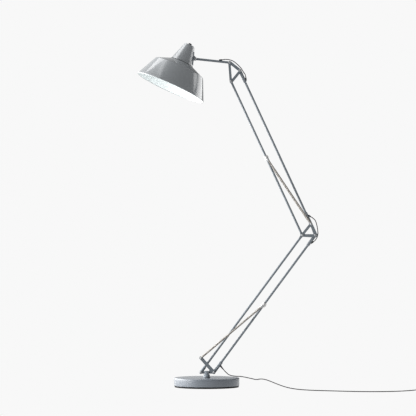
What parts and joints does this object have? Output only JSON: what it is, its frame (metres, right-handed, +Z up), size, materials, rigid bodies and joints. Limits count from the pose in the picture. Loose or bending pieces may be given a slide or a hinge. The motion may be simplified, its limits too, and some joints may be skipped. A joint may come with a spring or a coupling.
{
  "type": "floor lamp",
  "caption": "Floor lamp with a round weighted base, two parallelogram arms of slim rods balanced by springs, and a spun bell shade on a jointed head.",
  "frame": {"origin": "centre of the base's underside, on the floor", "axes": "+Z up, +X the way the lower arm leans, +Y away from the viewer, along every pivot of the arms"},
  "size_m": [1.575, 0.5995, 1.8569],
  "materials": {
    "grey_paint": "satin",
    "spun_aluminium": "glossy grey paint outside, white inside",
    "steel": "satin",
    "chrome": "polished",
    "spring_steel": "bright wire",
    "iron": "as cast",
    "black_rubber": "matte",
    "cord_grey": "satin",
    "black_plastic": "matte",
    "white_plastic": "matte",
    "frosted_glass": "frosted",
    "lamp_brass": "plated"
  },
  "bodies": {
    "base": {"foot_pad": "black_rubber", "base_weight": "iron", "base_cover": "grey_paint", "base_spindle": "steel", "spindle_nut": "steel", "friction_washer": "white_plastic", "mains_cord_run": "cord_grey", "mains_cord_coil": "cord_grey", "mains_plug": "black_plastic", "plug_pins": "chrome"},
    "turret": {"swivel_post": "grey_paint", "lever_plates": "grey_paint", "post_screws": "steel", "base_pivot_bolts": "steel", "lower_anchor_pin": "steel", "lever_spacer": "steel", "mains_cord_drop": "cord_grey"},
    "lower_right": {"lower_right_rod": "grey_paint", "lower_right_sockets": "grey_paint", "lower_cable_bushes": "black_rubber", "lower_rod_cable": "cord_grey", "lower_collar": "grey_paint", "lower_collar_studs": "steel"},
    "lower_left": {"lower_left_rod": "grey_paint", "lower_left_ends": "grey_paint"},
    "elbow": {"elbow_plates": "grey_paint", "elbow_pivot_bolts": "steel", "upper_anchor_bolt": "steel", "elbow_lead": "cord_grey"},
    "upper_right": {"upper_right_rod": "grey_paint", "upper_right_sockets": "grey_paint", "upper_cable_bushes": "black_rubber", "upper_rod_cable": "cord_grey"},
    "upper_left": {"upper_left_rod": "grey_paint", "upper_left_ends": "grey_paint", "upper_collar": "grey_paint", "upper_collar_studs": "steel"},
    "head_bracket": {"head_plates": "grey_paint", "head_pivot_bolts": "steel", "head_lead": "cord_grey"},
    "head_arm": {"head_tube": "grey_paint", "head_tube_ends": "grey_paint", "head_cable_bush": "black_rubber", "head_tube_cable": "cord_grey"},
    "shade": {"tilt_saddle": "grey_paint", "tilt_bolt": "steel", "shade_neck": "spun_aluminium", "shade_bell": "spun_aluminium", "lampholder": "black_plastic", "lamp_cap": "lamp_brass", "lamp_glass": "frosted_glass"},
    "knob": {"switch_knob": "black_plastic"},
    "lower_springs": {"lower_spring_front": "spring_steel", "lower_spring_rear": "spring_steel"},
    "lower_caps": {"lower_spring_caps": "chrome"},
    "upper_springs": {"upper_spring_front": "spring_steel", "upper_spring_rear": "spring_steel"},
    "upper_caps": {"upper_spring_caps": "chrome"}
  },
  "joints": [
    {"name": "swivel", "type": "hinge", "parent": "base", "child": "turret", "pos_m": [0, 0, 0], "axis": [0, 0, 1], "range_deg": [-90, 90], "deforming": ["mains_cord_drop"]},
    {"name": "lower_arm", "type": "hinge", "parent": "turret", "child": "lower_right", "pos_m": [0.0385, 0, 0.078], "axis": [0, 1, 0], "range_deg": [-20, 25]},
    {"name": "lower_left_pivot", "type": "hinge", "parent": "turret", "child": "lower_left", "pos_m": [-0.0315, 0, 0.078], "axis": [0, 1, 0], "range_deg": [-20, 25]},
    {"name": "elbow_level", "type": "hinge", "parent": "lower_right", "child": "elbow", "pos_m": [0.58464, 0, 0.81338], "axis": [0, 1, 0], "range_deg": [-25, 20], "deforming": ["elbow_lead"]},
    {"name": "upper_arm", "type": "hinge", "parent": "elbow", "child": "upper_right", "pos_m": [0.56214, 0, 0.87258], "axis": [0, 1, 0], "range_deg": [-25, 25]},
    {"name": "upper_left_pivot", "type": "hinge", "parent": "elbow", "child": "upper_left", "pos_m": [0.51464, 0, 0.81338], "axis": [0, 1, 0], "range_deg": [-25, 25]},
    {"name": "head_level", "type": "hinge", "parent": "upper_right", "child": "head_bracket", "pos_m": [0.1801, 0, 1.70511], "axis": [0, 1, 0], "range_deg": [-25, 25], "deforming": ["head_lead"]},
    {"name": "head_arm", "type": "hinge", "parent": "head_bracket", "child": "head_arm", "pos_m": [0.1246, 0, 1.74991], "axis": [0, 1, 0], "range_deg": [-25, 40]},
    {"name": "shade_tilt", "type": "hinge", "parent": "head_arm", "child": "shade", "pos_m": [-0.0618, 0, 1.77016], "axis": [0, 1, 0], "range_deg": [-25, 50]},
    {"name": "switch_turn", "type": "hinge", "parent": "shade", "child": "knob", "pos_m": [-0.09247, 0, 1.84511], "axis": [0.4067, 0, 0.9135], "range_deg": [0, 90]},
    {"name": "lower_spring_swing", "type": "hinge", "parent": "turret", "child": "lower_springs", "pos_m": [-0.031, 0, 0.155], "axis": [0, 1, 0], "range_deg": [-20.84, 25.8], "deforming": ["lower_spring_front", "lower_spring_rear"]},
    {"name": "lower_spring_stretch", "type": "slide", "parent": "lower_springs", "child": "lower_caps", "axis": [0.7651, 0, 0.6439], "range_m": [-0.03719, 0.04623]},
    {"name": "upper_spring_swing", "type": "hinge", "parent": "elbow", "child": "upper_springs", "pos_m": [0.56214, 0, 0.87258], "axis": [0, 1, 0], "range_deg": [-27.33, 27.33], "deforming": ["upper_spring_front", "upper_spring_rear"]},
    {"name": "upper_spring_stretch", "type": "slide", "parent": "upper_springs", "child": "upper_caps", "axis": [-0.5549, 0, 0.8319], "range_m": [-0.03258, 0.03258]}
  ],
  "couplings": [
    {"joint": "lower_left_pivot", "follows": "lower_arm", "ratio": 1},
    {"joint": "elbow_level", "follows": "lower_arm", "ratio": -1},
    {"joint": "lower_spring_swing", "follows": "lower_arm", "ratio": 0.99185},
    {"joint": "lower_spring_stretch", "follows": "lower_arm", "m_per_rad": 0.10366},
    {"joint": "upper_left_pivot", "follows": "upper_arm", "ratio": 1},
    {"joint": "head_level", "follows": "upper_arm", "ratio": -1},
    {"joint": "upper_spring_swing", "follows": "upper_arm", "ratio": 1.0531},
    {"joint": "upper_spring_stretch", "follows": "upper_arm", "m_per_rad": -0.07237}
  ]
}
